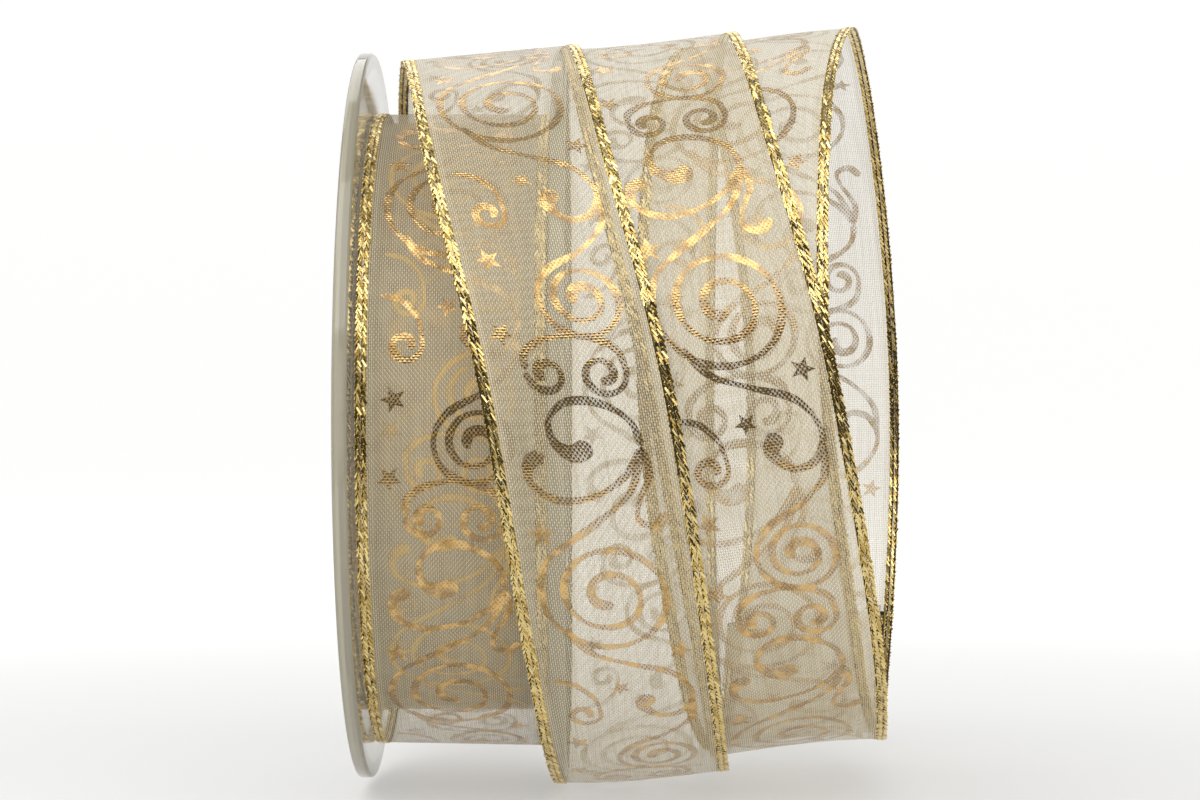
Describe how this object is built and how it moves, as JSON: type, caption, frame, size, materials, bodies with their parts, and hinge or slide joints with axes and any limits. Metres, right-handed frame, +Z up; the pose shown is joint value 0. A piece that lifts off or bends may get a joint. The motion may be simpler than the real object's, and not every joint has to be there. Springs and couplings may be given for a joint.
{
  "type": "ribbon spool",
  "caption": "Clear-flanged spool of sheer ribbon with gold woven edges and scroll print; its outer turns are drawn off sideways over one flange.",
  "frame": {"origin": "middle of the spool's bore", "axes": "+X along the bore towards the loose turns, +Z up, -Y towards the viewer"},
  "size_m": [0.0835, 0.1072, 0.1098],
  "materials": {
    "flange": "glossy translucent",
    "core": "matt",
    "web": "sheer",
    "gold": "metallic woven",
    "wire": "bright",
    "tape": "clear"
  },
  "bodies": {
    "spool": {"left_flange": "flange", "right_flange": "flange", "core_tube": "core", "starter_tape": "tape", "wound_web": "web", "wound_left_edge": "gold", "wound_right_edge": "gold"},
    "loose_ribbon": {"outer_turn": "web", "loose_turn_1": "web", "loose_turn_2": "web", "loose_turn_3": "web", "left_gold_edge": "gold", "right_gold_edge": "gold", "left_edge_wire": "wire", "right_edge_wire": "wire", "end_tape": "tape"}
  },
  "joints": [
    {"name": "ribbon_turn", "type": "hinge", "parent": "spool", "child": "loose_ribbon", "pos_m": [0, 0, 0], "axis": [1, 0, 0], "range_deg": [-20, 30]}
  ]
}
